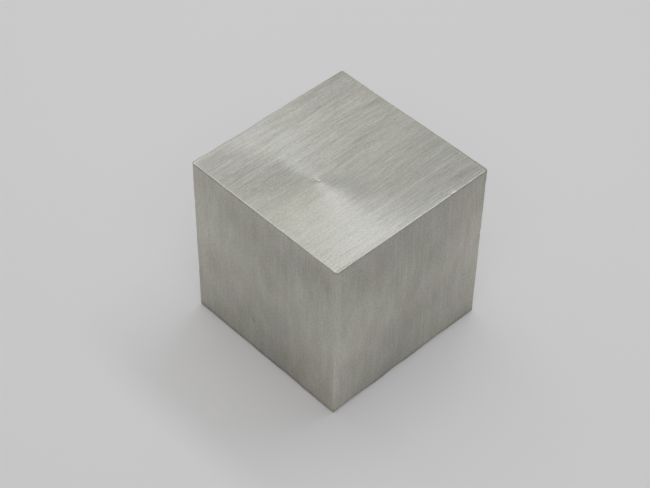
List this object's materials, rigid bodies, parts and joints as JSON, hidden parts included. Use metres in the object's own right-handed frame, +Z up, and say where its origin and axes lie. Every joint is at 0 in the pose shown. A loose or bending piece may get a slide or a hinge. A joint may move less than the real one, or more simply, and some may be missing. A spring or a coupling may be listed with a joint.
{
  "type": "tin ingot",
  "caption": "Solid cube of high-purity tin, faced flat, brushed and lightly broken at its edges: raw stock for melting, alloying or machining.",
  "frame": {"origin": "middle of the bottom face, which the block stands on", "axes": "+Z up; X and Y square to the side faces"},
  "size_m": [0.05, 0.05, 0.05],
  "materials": {
    "brushed_tin": "lathe-faced, then brushed: satin grey tin with fine straight scratches and a faint warm tint"
  },
  "bodies": {
    "root": {"tin_block": "brushed_tin"}
  },
  "joints": []
}
